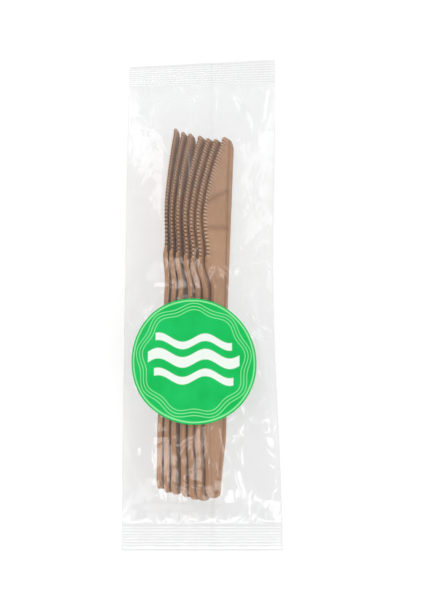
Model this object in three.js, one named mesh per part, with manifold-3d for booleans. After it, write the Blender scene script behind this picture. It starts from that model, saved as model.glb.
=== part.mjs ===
// A sealed clear-film pack of moulded knives with a round label on its front, lying on its back.
// Millimetres: +X across the pack, +Y along it towards the knife tips, +Z up from the table.
import * as THREE from "three";
import { mergeVertices } from "three/addons/utils/BufferGeometryUtils.js";
import Module from "manifold-3d";

const wasm = await Module();
wasm.setup();

// Knife, measured along its length from the butt of the handle
const HANDLE_LENGTH = 90; // butt to the narrowest place of the neck
const NECK_LENGTH = 14; // narrowest place to the heel, where the teeth begin
const BLADE_LENGTH = 61; // heel to tip
const HANDLE_WIDTH = 13.8;
const HANDLE_WIDEST = 31; // butt to the widest place of the handle
const BUTT_WIDTH = 9; // handle's width where its rounded end begins
const BUTT_ROUND = 4; // length of that rounded end
const NECK_WIDTH = 10;
const NECK_RISE = 0.4; // neck's middle above the handle's middle line, towards the spine
const SPINE_RISE = 6.5; // spine above the handle's middle line, near the tip
const EDGE_DROP = 13.6; // deepest place of the cutting edge below that line
const HEEL_DROP = 10.4;
const EDGE_BELLY = 19.5; // heel to the deepest place of the edge
const EDGE_RUN = 27; // length of the edge's slanting run down from the tip
const TIP_ROUND = 4.5; // length of the rounded corner between spine and tip
const TIP_RISE = -0.3; // where the edge meets the blunt tip, towards the spine
const TIP_BLUNT = 2.2; // width of the blunt end between the edge and the rounded corner
const KNIFE_THICKNESS = 2.1; // over the rims
const RIM_WIDTH = 1.8;
const RIB_WIDTH = 3.2; // rib along the spine, near the tip
const PANEL_DEPTH = 0.4; // how far handle panel and blade lie below the rims, on each face

// Teeth: grooves down both faces, set half a step apart, so that the edge runs in a zigzag
const TOOTH_PITCH = 1.7;
const TOOTH_GROOVE = 2.6; // groove's length up the blade
const PLAIN_TIP = 2; // edge left without teeth at the tip

// Stack of knives: spines down and edges up, fanned out from the front knife, which leans most
const STACK_TURN = THREE.MathUtils.degToRad(-1.9); // stack against the pack's length
const STACK_SHIFT = 11.8; // front knife's spine from the pack's middle
const KNIFE_GAP = 0.5; // least air between one knife and the next
const KNIVES = [
  { lean: 52.5, slip: 0.4, apart: 0 }, // face against the table in degrees, slip along the stack, extra air in front
  { lean: 57.5, slip: -0.9, apart: 0 },
  { lean: 60.5, slip: -0.6, apart: 0 },
  { lean: 65, slip: 0.4, apart: 0.1 },
  { lean: 71, slip: 1.3, apart: 0.9 },
  { lean: 73.5, slip: 2, apart: 0.2 },
  { lean: 79, slip: 3.5, apart: 0.1 },
];
const BUTT_ROOM = 9.6; // butt of the front knife to the bottom seal
const TIP_ROOM = 26.4; // tip of the front knife to the top seal

// Film
const FILM_THICKNESS = 0.1;
const FILM_CLEARANCE = 0.3; // film to knives
const BAG_WIDTH = 68.3;
const SIDE_PULL = 2.4; // how far the right side is drawn in at mid-length
const SEAL_LENGTH = 12;
const SEAL_HEIGHT = 4; // seals above the table
const LEFT_LIFT = 6.5; // how far the left fold stands above the seals at mid-length, and the right fold
const RIGHT_LIFT = 2;
const NECK_SAG = 4; // how far the film sinks over the necks of the knives
const RIDGE_FALL = 2.2; // how far the film falls across the blades, from the rear knife to the second one
const CRIMP_PITCH = 1.15;
const CRIMP_COUNT = 8;
const CRIMP_DEPTH = 0.18;
const LAP_WIDTH = 10; // overlap of the sheet's two edges, down the middle of the back
const LAYER_STEP = 0.2; // one layer of film to the next where layers lie on each other
const GATHER_HEIGHT = 1.1; // puckers of the film beside each end seal
const GATHER_WIDTH = 9.5;
const GATHER_REACH = 6; // seal to the highest place of the puckers

// Label
const LABEL_DIAMETER = 55.8;
const LABEL_THICKNESS = 0.12;
const LABEL_GAP = 0.3;
const LABEL_ACROSS = -3.5; // label's middle from the pack's middle
const LABEL_ALONG = -32.7;

const KNIFE_LENGTH = HANDLE_LENGTH + NECK_LENGTH + BLADE_LENGTH;
const STACK_LENGTH = BUTT_ROOM + KNIFE_LENGTH + TIP_ROOM;
const BAG_LENGTH = STACK_LENGTH + 2 * SEAL_LENGTH;
const SEAL_START = STACK_LENGTH / 2;

const solidOf = (geometry) => {
  const bare = geometry.clone();
  bare.deleteAttribute("normal");
  bare.deleteAttribute("uv");
  const welded = mergeVertices(bare, 1e-4);
  return new wasm.Manifold(
    new wasm.Mesh({
      numProp: 3,
      vertProperties: new Float32Array(welded.attributes.position.array),
      triVerts: new Uint32Array(welded.index.array),
    }),
  );
};

const geometryOf = (solid) => {
  const mesh = solid.getMesh();
  const geometry = new THREE.BufferGeometry();
  geometry.setAttribute("position", new THREE.BufferAttribute(mesh.vertProperties, 3));
  geometry.setIndex(new THREE.BufferAttribute(mesh.triVerts, 1));
  geometry.computeVertexNormals();
  return geometry;
};

const plate = (shape, from, to) =>
  new THREE.ExtrudeGeometry(shape, { depth: to - from, bevelEnabled: false, curveSegments: 5 }).translate(0, 0, from);

// Knife, flat on the XY plane: butt at the origin, tip towards +Y, spine on +X and cutting edge on -X
const NECK_AT = HANDLE_LENGTH;
const HEEL_AT = HANDLE_LENGTH + NECK_LENGTH;
const SOFT_TURN = 0.45; // share of a stretch that a curve keeps to its first heading
const ROUND_TURN = 0.552; // the same for a quarter round

// S-shaped side between two widths, running along Y at both ends
const easeTo = (shape, x, y) => {
  const from = shape.currentPoint.clone();
  const pull = (y - from.y) * SOFT_TURN;
  shape.bezierCurveTo(from.x, from.y + pull, x, y - pull, x, y);
};

// Right side of the knife from butt to tip, drawn at a distance inside the real outline
const drawSpineSide = (shape, inset, tipInset) => {
  const butt = BUTT_WIDTH / 2 - inset;
  const turnAt = inset + (BUTT_ROUND - inset) * (1 - ROUND_TURN);
  shape.moveTo(0, inset);
  shape.bezierCurveTo(butt * ROUND_TURN, inset, butt, turnAt, butt, BUTT_ROUND);
  easeTo(shape, HANDLE_WIDTH / 2 - inset, HANDLE_WIDEST);
  easeTo(shape, NECK_RISE + NECK_WIDTH / 2 - inset, NECK_AT);
  shape.lineTo(SPINE_RISE - tipInset, KNIFE_LENGTH - TIP_ROUND);
};

// Left side of the handle from the neck back to the butt
const drawGripSide = (shape, inset) => {
  const butt = BUTT_WIDTH / 2 - inset;
  const turnAt = inset + (BUTT_ROUND - inset) * (1 - ROUND_TURN);
  easeTo(shape, inset - HANDLE_WIDTH / 2, HANDLE_WIDEST);
  easeTo(shape, -butt, BUTT_ROUND);
  shape.bezierCurveTo(-butt, turnAt, -butt * ROUND_TURN, inset, 0, inset);
};

const knifeOutline = new THREE.Shape();
const cuttingEdge = new THREE.CurvePath();
const bluntEnd = TIP_RISE + TIP_BLUNT;
drawSpineSide(knifeOutline, 0, 0);
knifeOutline.bezierCurveTo(
  SPINE_RISE, KNIFE_LENGTH - TIP_ROUND * (1 - ROUND_TURN),
  bluntEnd + (SPINE_RISE - bluntEnd) * ROUND_TURN, KNIFE_LENGTH,
  bluntEnd, KNIFE_LENGTH,
);
knifeOutline.lineTo(TIP_RISE, KNIFE_LENGTH);
const bellyAt = HEEL_AT + EDGE_BELLY;
knifeOutline.bezierCurveTo(
  TIP_RISE - (EDGE_DROP + TIP_RISE) * ROUND_TURN, KNIFE_LENGTH - EDGE_RUN * ROUND_TURN,
  -EDGE_DROP, bellyAt + (KNIFE_LENGTH - EDGE_RUN - bellyAt) * ROUND_TURN,
  -EDGE_DROP, bellyAt,
);
cuttingEdge.add(knifeOutline.curves.at(-1));
knifeOutline.bezierCurveTo(
  -EDGE_DROP, bellyAt - EDGE_BELLY * SOFT_TURN,
  -HEEL_DROP, HEEL_AT + EDGE_BELLY * SOFT_TURN,
  -HEEL_DROP, HEEL_AT,
);
cuttingEdge.add(knifeOutline.curves.at(-1));
easeTo(knifeOutline, NECK_RISE - NECK_WIDTH / 2, NECK_AT);
drawGripSide(knifeOutline, 0);

// Sunk panel: inside the rims along handle and spine, and open over the whole cutting edge
const OPEN_SIDE = EDGE_DROP + HANDLE_WIDTH;
const panelOutline = new THREE.Shape();
drawSpineSide(panelOutline, RIM_WIDTH, RIB_WIDTH);
panelOutline.lineTo(SPINE_RISE - RIB_WIDTH, KNIFE_LENGTH + TIP_ROUND);
panelOutline.lineTo(-OPEN_SIDE, KNIFE_LENGTH + TIP_ROUND);
panelOutline.lineTo(-OPEN_SIDE, HEEL_AT);
panelOutline.lineTo(-HEEL_DROP + RIM_WIDTH, HEEL_AT);
easeTo(panelOutline, NECK_RISE - NECK_WIDTH / 2 + RIM_WIDTH, NECK_AT);
drawGripSide(panelOutline, RIM_WIDTH);

// One groove: a four-sided spike lying in the blade's face, its point up the blade and its foot past the edge
const bladeFace = KNIFE_THICKNESS / 2 - PANEL_DEPTH;
const grooveSpike = () => {
  const length = 1.4 * TOOTH_GROOVE;
  const radius = (TOOTH_PITCH / 2) * (length / TOOTH_GROOVE);
  return new THREE.ConeGeometry(radius, length, 4).translate(0, -length / 2, 0);
};

const cutGrooves = (knife, face, firstStep) => {
  const edgeLength = cuttingEdge.getLength();
  let cut = knife;
  for (let along = PLAIN_TIP + firstStep; along < edgeLength; along += TOOTH_PITCH) {
    const share = along / edgeLength;
    const foot = cuttingEdge.getPointAt(share);
    const run = cuttingEdge.getTangentAt(share);
    const inward = new THREE.Vector2(-run.y, run.x);
    const spike = grooveSpike()
      .rotateZ(inward.angle() - Math.PI / 2)
      .translate(foot.x + inward.x * TOOTH_GROOVE, foot.y + inward.y * TOOTH_GROOVE, face);
    cut = cut.subtract(solidOf(spike));
  }
  return cut;
};

const knifeForm = () => {
  const half = KNIFE_THICKNESS / 2;
  let knife = solidOf(plate(knifeOutline, -half, half));
  knife = knife.subtract(solidOf(plate(panelOutline, bladeFace, KNIFE_THICKNESS)));
  knife = knife.subtract(solidOf(plate(panelOutline, -KNIFE_THICKNESS, -bladeFace)));
  knife = cutGrooves(knife, bladeFace, 0);
  knife = cutGrooves(knife, -bladeFace, TOOTH_PITCH / 2);
  return geometryOf(knife);
};

// Each knife's spine stands on the film, as far from the last as their handles and blades need
const part = new THREE.Group();
part.name = "pack_of_knives";
const stack = new THREE.Group();
stack.rotation.z = STACK_TURN;
part.add(stack);

const halfThick = KNIFE_THICKNESS / 2;
const lowestReach = Math.max(HANDLE_WIDTH / 2, SPINE_RISE);
const filmUnderStack = FILM_THICKNESS + LAYER_STEP + FILM_CLEARANCE;
const knifeGeometry = knifeForm();

const footStep = (lean, leanBefore) => {
  const closing = Math.sin(lean - leanBefore);
  const atHandle = KNIFE_THICKNESS + HANDLE_WIDTH * closing;
  const atBlade = 2 * bladeFace + (lowestReach + EDGE_DROP) * closing;
  return (Math.max(atHandle, atBlade) + KNIFE_GAP) / Math.sin(lean);
};

let foot = STACK_SHIFT;
const knives = KNIVES.map(({ lean, slip, apart }, index) => {
  const tilt = THREE.MathUtils.degToRad(lean);
  if (index > 0) foot -= footStep(tilt, THREE.MathUtils.degToRad(KNIVES[index - 1].lean)) + apart;
  const plastic = new THREE.MeshStandardMaterial({ color: 0xb28f74, roughness: 0.5 });
  const knife = new THREE.Mesh(knifeGeometry, plastic);
  knife.name = `knife_${index + 1}`;
  knife.position.set(
    foot - lowestReach * Math.cos(tilt),
    BUTT_ROOM - SEAL_START + slip,
    filmUnderStack + lowestReach * Math.sin(tilt) + halfThick * Math.cos(tilt),
  );
  knife.rotation.y = tilt;
  stack.add(knife);
  return knife;
});
part.updateMatrixWorld(true);

// Outer points of the whole stack, which the film is drawn over
const stackPoints = knives.flatMap((knife) =>
  knifeOutline.getPoints(12).flatMap(({ x, y }) =>
    [-halfThick, halfThick].map((z) => new THREE.Vector3(x, y, z).applyMatrix4(knife.matrixWorld)),
  ),
);

// Lines along the pack: film's ridge over the knives behind the front one, and its flat under the spines
const tableTurn = -Math.tan(STACK_TURN);
const bladeTop = ({ position, rotation }) => position.x - EDGE_DROP * Math.cos(rotation.y);
const ridgeLeft = (y) => bladeTop(knives.at(-1)) - halfThick + y * tableTurn;
const ridgeRight = (y) => bladeTop(knives[1]) + y * tableTurn;
const footLeft = (y) => Math.min(foot - KNIFE_THICKNESS - FILM_CLEARANCE + y * tableTurn, -LAP_WIDTH);
const footRight = (y) => Math.max(STACK_SHIFT + halfThick + FILM_CLEARANCE + y * tableTurn, LAP_WIDTH * 0.8);

// The film falls across the blades: share of its height above the seals that it keeps at a place on the pack
const frontSeal = SEAL_HEIGHT + LAYER_STEP;
const backSeal = SEAL_HEIGHT - LAYER_STEP;
const filmLift = FILM_THICKNESS / 2 + 2 * FILM_CLEARANCE;
const stackTop = Math.max(...stackPoints.map(({ z }) => z)) + filmLift;
const keptHeight = (x, y) => {
  const across = THREE.MathUtils.clamp((x - ridgeLeft(y)) / (ridgeRight(y) - ridgeLeft(y)), 0, 1);
  return 1 - (RIDGE_FALL * across) / (stackTop - frontSeal);
};

// Taut line of the film along the pack, over the rear knife: straight runs from seal to seal over all high points
const tautLine = (() => {
  const ends = [-SEAL_START, SEAL_START].map((y) => ({ y, z: frontSeal }));
  const tops = stackPoints.map(({ x, y, z }) => ({ y, z: frontSeal + (z + filmLift - frontSeal) / keptHeight(x, y) }));
  const points = [...tops, ...ends].sort((a, b) => a.y - b.y);
  const line = [];
  for (const point of points) {
    while (line.length > 1) {
      const [a, b] = line.slice(-2);
      if ((b.z - a.z) * (point.y - b.y) > (point.z - b.z) * (b.y - a.y)) break;
      line.pop();
    }
    line.push(point);
  }
  return line;
})();

// The film sinks a little over the necks, slowly from the handles and quickly from the heels of the blades
const widestY = BUTT_ROOM - SEAL_START + HANDLE_WIDEST;
const neckY = BUTT_ROOM - SEAL_START + NECK_AT;
const heelY = BUTT_ROOM - SEAL_START + HEEL_AT;
const neckSag = (y) =>
  NECK_SAG * THREE.MathUtils.smoothstep(y, widestY, neckY) * (1 - THREE.MathUtils.smoothstep(y, neckY, heelY));

const tautHeight = (y) => {
  const next = tautLine.findIndex((point) => point.y >= y);
  if (next <= 0) return frontSeal;
  const [a, b] = [tautLine[next - 1], tautLine[next]];
  return THREE.MathUtils.mapLinear(y, a.y, b.y, a.z, b.z) - neckSag(y);
};

// Sides of the flattened tube; the right one is drawn in where the stack fills the pack
const filmHalf = FILM_THICKNESS / 2;
const sideLeft = () => -BAG_WIDTH / 2 + filmHalf;
const sideRight = (y) => BAG_WIDTH / 2 - filmHalf - SIDE_PULL * Math.max(0, Math.cos((Math.PI * y) / BAG_LENGTH)) ** 2;

// Height of the side folds: level with the seals at both ends, lifted where the film is drawn over the stack
const foldHeight = (x, y) => {
  const lift = x < 0 ? LEFT_LIFT : RIGHT_LIFT;
  return SEAL_HEIGHT + lift * Math.max(0, 1 - (y / SEAL_START) ** 4);
};

// How far a place lies from a level strip towards the side folds: 0 on the strip, 1 at a fold
const FALL_SHAPE = 1.5;
const sideShare = (x, y, left, right) => {
  if (x < left) return Math.min(1, (left - x) / (left - sideLeft(y))) ** FALL_SHAPE;
  if (x > right) return Math.min(1, (x - right) / (sideRight(y) - right)) ** FALL_SHAPE;
  return 0;
};

// Puckers beside the seals: they start flat at the seal, stand highest a little way in, and die out
const gather = (x, y) => {
  const away = Math.max(0, SEAL_START - Math.abs(y)) / GATHER_REACH;
  const waves = 0.5 + 0.5 * Math.cos((2 * Math.PI * x) / GATHER_WIDTH);
  return GATHER_HEIGHT * waves * away * Math.exp(1 - away);
};

// Middle of the film's front at a place on the pack
const frontFilm = (x, y) => {
  const share = sideShare(x, y, ridgeLeft(y), ridgeRight(y));
  const taut = frontSeal + (tautHeight(y) - frontSeal) * keptHeight(x, y);
  const height = THREE.MathUtils.lerp(taut, foldHeight(x, y) + LAYER_STEP, share);
  return height + gather(x, y) * (1 - share);
};

// Middle of the film's back: flat on the table under the stack, rising to the seals and the side folds
const levelFrom = -SEAL_START + BUTT_ROOM;
const levelTo = SEAL_START - TIP_ROOM;
const backFilm = (x, y) => {
  const rise = THREE.MathUtils.clamp(
    Math.max((levelFrom - y) / BUTT_ROOM, (y - levelTo) / TIP_ROOM), 0, 1,
  );
  const floor = THREE.MathUtils.lerp(filmHalf, backSeal, rise);
  return THREE.MathUtils.lerp(floor, foldHeight(x, y) - LAYER_STEP, sideShare(x, y, footLeft(y), footRight(y)));
};

const spread = (from, to, steps) =>
  Array.from({ length: steps }, (_, i) => THREE.MathUtils.lerp(from, to, i / steps));

// One cut through the sheet, from the inner edge of the lap round the tube to the lap's outer edge
const FOLD_REACH = 0.3;
const sheetSection = (y) => {
  const left = sideLeft(y) + FOLD_REACH;
  const right = sideRight(y) - FOLD_REACH;
  const lapEdge = LAP_WIDTH / 2;
  const lapStep = LAP_WIDTH / 10;
  const inner = [lapEdge, 0, -lapEdge - lapStep].map((x) => [x, backFilm(x, y) + LAYER_STEP]);
  const backLeft = [...spread(-lapEdge - 3 * lapStep, footLeft(y), 1), ...spread(footLeft(y), left, 3), left];
  const front = [
    ...spread(left, ridgeLeft(y), 5),
    ...spread(ridgeLeft(y), ridgeRight(y), 6),
    ...spread(ridgeRight(y), right, 7),
    right,
  ];
  const backRight = [right, ...spread(right, footRight(y), 3).slice(1), footRight(y), lapEdge, 0, -lapEdge];
  return [
    ...inner,
    ...backLeft.map((x) => [x, backFilm(x, y)]),
    [sideLeft(y), foldHeight(sideLeft(y), y)],
    ...front.map((x) => [x, frontFilm(x, y)]),
    [sideRight(y), foldHeight(sideRight(y), y)],
    ...backRight.map((x) => [x, backFilm(x, y)]),
  ].map(([x, z]) => new THREE.Vector2(x, z));
};

// Sheet's two faces, half a thickness to each side of its middle line
const faceOf = (section, side) =>
  section.map((point, i) => {
    const run = section[Math.min(i + 1, section.length - 1)].clone().sub(section[Math.max(i - 1, 0)]).normalize();
    return new THREE.Vector2(point.x - run.y * side, point.y + run.x * side);
  });

const sheetForm = (stations) => {
  const rings = stations.map((y) => {
    const section = sheetSection(y);
    return [...faceOf(section, filmHalf), ...faceOf(section, -filmHalf).reverse()];
  });
  const count = rings[0].length;
  const position = rings.flatMap((ring, k) => ring.flatMap(({ x, y: z }) => [x, stations[k], z]));
  const index = [];
  const quad = (a, b, c, d) => index.push(a, c, b, a, d, c);
  for (let k = 0; k + 1 < rings.length; k += 1) {
    for (let i = 0; i < count; i += 1) {
      const j = (i + 1) % count;
      const corners = [k * count + i, (k + 1) * count + i, (k + 1) * count + j, k * count + j];
      if (i >= count / 2) corners.push(corners.shift()); // both faces bend along the same diagonals
      quad(...corners);
    }
  }
  const lastRing = (rings.length - 1) * count;
  for (let i = 0; i + 1 < count / 2; i += 1) {
    const far = count - 1 - i;
    quad(i, i + 1, far - 1, far);
    quad(lastRing + i, lastRing + far, lastRing + far - 1, lastRing + i + 1);
  }
  const geometry = new THREE.BufferGeometry();
  geometry.setAttribute("position", new THREE.Float32BufferAttribute(position, 3));
  geometry.setIndex(index);
  return geometry;
};

// End seal: all layers pressed into one band, ridged across by the sealing jaws, with a plain margin at the cut
const sealForm = () => {
  const half = LAYER_STEP + FILM_THICKNESS;
  const margin = (SEAL_LENGTH - CRIMP_COUNT * CRIMP_PITCH) / 2;
  const top = [[0, half]];
  for (let i = 0; i <= CRIMP_COUNT; i += 1) {
    const ridge = margin + i * CRIMP_PITCH;
    top.push([ridge, half]);
    if (i < CRIMP_COUNT) top.push([ridge + CRIMP_PITCH / 2, half + CRIMP_DEPTH]);
  }
  top.push([SEAL_LENGTH, half]);
  const profile = new THREE.Shape(
    [...top, ...top.map(([y, z]) => [y, -z]).reverse()].map(([y, z]) => new THREE.Vector2(y, z)),
  );
  const width = BAG_WIDTH;
  const band = plate(profile, -width / 2, width / 2);
  band.applyMatrix4(new THREE.Matrix4().makeBasis(
    new THREE.Vector3(0, 1, 0), new THREE.Vector3(0, 0, 1), new THREE.Vector3(1, 0, 0),
  ));
  return band.translate(0, SEAL_START, SEAL_HEIGHT);
};

const wrapperForm = () => {
  const tucked = SEAL_LENGTH / 4; // how far the tube's layers run into the seal
  const nearSeal = [0, 0.5, 1, 1.8, 3].map((share) => share * GATHER_REACH);
  const middle = SEAL_START - nearSeal.at(-1);
  const stations = [
    -SEAL_START - tucked,
    ...nearSeal.map((in_) => -SEAL_START + in_),
    ...spread(-middle, neckY, 6).slice(1),
    ...spread(neckY, heelY, 2),
    ...spread(heelY, middle, 5),
    ...nearSeal.map((in_) => SEAL_START - in_).reverse(),
    SEAL_START + tucked,
  ];
  const topSeal = sealForm();
  const bottomSeal = topSeal.clone().rotateZ(Math.PI);
  return geometryOf(solidOf(sheetForm(stations)).add(solidOf(topSeal)).add(solidOf(bottomSeal)));
};

const film = new THREE.MeshStandardMaterial({
  color: 0xf1f3f3, roughness: 0.12, transparent: true, opacity: 0.22, side: THREE.DoubleSide,
});
const wrapper = new THREE.Mesh(wrapperForm(), film);
wrapper.name = "film_wrapper";
part.add(wrapper);

// Label: a flat disc bent over the film, so that lengths across the pack are kept as it bends
const labelPlace = (across, y) => {
  const step = 0.25 * Math.sign(across);
  let x = LABEL_ACROSS;
  let gone = 0;
  while (gone < Math.abs(across)) {
    const piece = Math.hypot(step, frontFilm(x + step, y) - frontFilm(x, y));
    const share = Math.min(1, (Math.abs(across) - gone) / piece);
    x += step * share;
    gone += piece * share || Infinity;
  }
  return x;
};

// The disc is cut into columns along the pack, closer together towards its two sides
const LABEL_COLUMNS = 20;
const LABEL_ROWS = 4;
const labelForm = () => {
  const reach = LABEL_DIAMETER / 2;
  const under = [];
  const columns = Array.from({ length: LABEL_COLUMNS + 1 }, (_, i) => {
    const turn = (Math.PI * i) / LABEL_COLUMNS;
    const isSide = i === 0 || i === LABEL_COLUMNS;
    const first = under.length;
    for (let row = 0; row <= (isSide ? 0 : LABEL_ROWS); row += 1) {
      const along = isSide ? 0 : reach * Math.sin(turn) * ((2 * row) / LABEL_ROWS - 1);
      const y = LABEL_ALONG + along;
      const x = labelPlace(-reach * Math.cos(turn), y);
      under.push([x, y, frontFilm(x, y) + filmHalf + LABEL_GAP]);
    }
    return Array.from({ length: LABEL_ROWS + 1 }, (_unused, row) => first + (isSide ? 0 : row));
  });
  const over = under.length;
  const position = [...under, ...under.map(([x, y, z]) => [x, y, z + LABEL_THICKNESS])].flat();
  const index = [];
  const face = (a, b, c) => {
    if (a === b || b === c || c === a) return;
    index.push(over + a, over + b, over + c, a, c, b);
  };
  const wall = (a, b) => index.push(a, b, over + b, a, over + b, over + a);
  for (let i = 0; i < LABEL_COLUMNS; i += 1) {
    const [here, next] = [columns[i], columns[i + 1]];
    for (let row = 0; row < LABEL_ROWS; row += 1) {
      face(here[row], next[row], next[row + 1]);
      face(here[row], next[row + 1], here[row + 1]);
    }
    wall(here[0], next[0]);
    wall(next[LABEL_ROWS], here[LABEL_ROWS]);
  }
  const geometry = new THREE.BufferGeometry();
  geometry.setAttribute("position", new THREE.Float32BufferAttribute(position, 3));
  geometry.setIndex(index);
  geometry.computeVertexNormals();
  return geometry;
};

const label = new THREE.Mesh(labelForm(), new THREE.MeshStandardMaterial({ color: 0x12b552, roughness: 0.45 }));
label.name = "round_label";
part.add(label);

export default part;
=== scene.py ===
import bpy
import numpy as np
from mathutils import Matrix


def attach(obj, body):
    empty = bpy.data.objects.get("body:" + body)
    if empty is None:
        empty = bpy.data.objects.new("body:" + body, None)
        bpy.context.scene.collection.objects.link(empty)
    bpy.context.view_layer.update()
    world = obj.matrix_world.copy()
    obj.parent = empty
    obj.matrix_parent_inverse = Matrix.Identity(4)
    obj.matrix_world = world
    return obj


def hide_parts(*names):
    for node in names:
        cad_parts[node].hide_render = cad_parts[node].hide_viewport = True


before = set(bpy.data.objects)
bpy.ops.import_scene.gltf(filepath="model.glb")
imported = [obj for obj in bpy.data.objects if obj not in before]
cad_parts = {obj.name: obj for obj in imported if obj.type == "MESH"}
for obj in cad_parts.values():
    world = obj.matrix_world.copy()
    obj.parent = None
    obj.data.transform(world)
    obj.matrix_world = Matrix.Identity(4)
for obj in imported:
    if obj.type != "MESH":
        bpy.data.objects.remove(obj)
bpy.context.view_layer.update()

# Knives: seven alike injection mouldings in brown plant-based plastic. Each has a raised rim round a sunk
# handle panel, a narrow neck, a rib along the spine and a cutting edge grooved from both faces.
# They lie loose in the pack on their spines, edges up, fanned out from the front one.
MM = 0.001
KNIFE_LENGTH = 165.0
HANDLE_WIDTH = 13.8
HANDLE_WIDEST = 31.0
BUTT_WIDTH = 9.0
BUTT_ROUND = 4.0
NECK_AT = 90.0
NECK_WIDTH = 10.0
NECK_RISE = 0.4
HEEL_AT = 104.0
HEEL_DROP = 10.4
BELLY_AT = 123.5
EDGE_DROP = 13.6
EDGE_RUN = 27.0
SPINE_RISE = 6.5
TIP_ROUND = 4.5
TIP_RISE = -0.3
TIP_BLUNT = 2.2
KNIFE_THICKNESS = 2.1
RIM_WIDTH = 1.8
RIB_WIDTH = 3.2
PANEL_DEPTH = 0.4
TOOTH_PITCH = 1.7
TOOTH_GROOVE = 2.6
PLAIN_TIP = 2.0
EDGE_ROUND = 0.12
RIM_ROUND = 0.18
RIM_SOFT = 0.22
WALL_SHADE = 0.34
WALL_SHADE_REACH = 0.45
SOFT_TURN = 0.45
ROUND_TURN = 0.552


def bezier_chain(pieces, steps=240):
    """Chain of cubic Bezier pieces: each point is a sum of a piece's four corners in Bernstein weights."""
    t = np.linspace(0, 1, steps)
    weights = np.stack([(1 - t) ** 3, 3 * t * (1 - t) ** 2, 3 * t * t * (1 - t), t**3], axis=1)
    return np.einsum("sc,pcd->psd", weights, np.array(pieces, float)).reshape(-1, 2)


def ease(x0, y0, x1, y1):
    """Corners of an S-shaped side between two widths: it runs along the knife at both ends."""
    pull = (y1 - y0) * SOFT_TURN
    return [[x0, y0], [x0, y0 + pull], [x1, y1 - pull], [x1, y1]]


def butt_side(side):
    """Corners of a quarter-round, from the middle of the butt's end out to one side."""
    wide = side * BUTT_WIDTH / 2
    return [[0, 0], [wide * ROUND_TURN, 0], [wide, BUTT_ROUND * (1 - ROUND_TURN)], [wide, BUTT_ROUND]]


half_butt = BUTT_WIDTH / 2
half_grip = HANDLE_WIDTH / 2
neck_spine = NECK_RISE + NECK_WIDTH / 2
neck_edge = NECK_RISE - NECK_WIDTH / 2
blunt_end = TIP_RISE + TIP_BLUNT
tip_spine = [
    [SPINE_RISE, KNIFE_LENGTH - TIP_ROUND],
    [SPINE_RISE, KNIFE_LENGTH - TIP_ROUND * (1 - ROUND_TURN)],
    [blunt_end + (SPINE_RISE - blunt_end) * ROUND_TURN, KNIFE_LENGTH],
    [blunt_end, KNIFE_LENGTH],
]
tip_edge = [
    [-EDGE_DROP, BELLY_AT],
    [-EDGE_DROP, BELLY_AT + (KNIFE_LENGTH - EDGE_RUN - BELLY_AT) * ROUND_TURN],
    [TIP_RISE - (EDGE_DROP + TIP_RISE) * ROUND_TURN, KNIFE_LENGTH - EDGE_RUN * ROUND_TURN],
    [TIP_RISE, KNIFE_LENGTH],
]
heel_edge = ease(-HEEL_DROP, HEEL_AT, -EDGE_DROP, BELLY_AT)
blade_spine = np.linspace([neck_spine, NECK_AT], [SPINE_RISE, KNIFE_LENGTH - TIP_ROUND], 4)
spine_line = bezier_chain([
    butt_side(1),
    ease(half_butt, BUTT_ROUND, half_grip, HANDLE_WIDEST),
    ease(half_grip, HANDLE_WIDEST, neck_spine, NECK_AT),
    blade_spine,
    tip_spine,
])
edge_line = bezier_chain([
    butt_side(-1),
    ease(-half_butt, BUTT_ROUND, -half_grip, HANDLE_WIDEST),
    ease(-half_grip, HANDLE_WIDEST, neck_edge, NECK_AT),
    ease(neck_edge, NECK_AT, -HEEL_DROP, HEEL_AT),
    heel_edge,
    tip_edge,
])


def smooth_step(low, high, value):
    """0 below low, 1 above high, and 3t^2 - 2t^3 between them."""
    t = np.clip((value - low) / (high - low), 0, 1)
    return t * t * (3 - 2 * t)


def border_distance(gap, slope):
    """Distance to a sloping border: the gap along one axis times the cosine of the border's slope."""
    return gap / np.sqrt(1 + slope**2)


def groove_depth(x, y, first_step):
    """Depth of the teeth's V-grooves: each starts at the edge, half a pitch deep, and narrows to nothing at
    a groove's length up the blade. Place and distance are taken square to the edge. With it goes a cosine
    along the edge that is 1 on the teeth, -1 in the grooves, and fades with them up the blade: painted
    light on the crests and painted shade in the grooves."""
    run = bezier_chain([tip_edge[::-1], heel_edge[::-1]], steps=900)
    step = np.gradient(run, axis=0)
    length = np.hypot(*step.T)
    along = np.concatenate([[0], np.cumsum(np.hypot(*np.diff(run, axis=0).T))])
    tangent = step / np.maximum(length, 1e-9)[:, None]
    spots = np.stack([x.ravel(), y.ravel()], axis=1)
    nearest = np.argmin((spots[:, :1] - run[:, 0]) ** 2 + (spots[:, 1:] - run[:, 1]) ** 2, axis=1)
    offset = spots - run[nearest]
    place = along[nearest] + np.sum(offset * tangent[nearest], axis=1)
    distance = np.hypot(*offset.T)
    reach = TOOTH_PITCH / 2 * np.clip(1 - distance / TOOTH_GROOVE, 0, 1)
    from_centre = (place - PLAIN_TIP - first_step + TOOTH_PITCH / 2) % TOOTH_PITCH - TOOTH_PITCH / 2
    toothed = (place > PLAIN_TIP + first_step - TOOTH_PITCH / 2) & (place < along[-1] - TOOTH_PITCH / 2)
    depth = np.maximum(0, reach - np.abs(from_centre)) * toothed
    # The cosine is painted light on the teeth's crests and painted shade in their grooves.
    relief = -np.cos(2 * np.pi * from_centre / TOOTH_PITCH) * reach / (TOOTH_PITCH / 2) * toothed
    return depth.reshape(x.shape), relief.reshape(x.shape)


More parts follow.
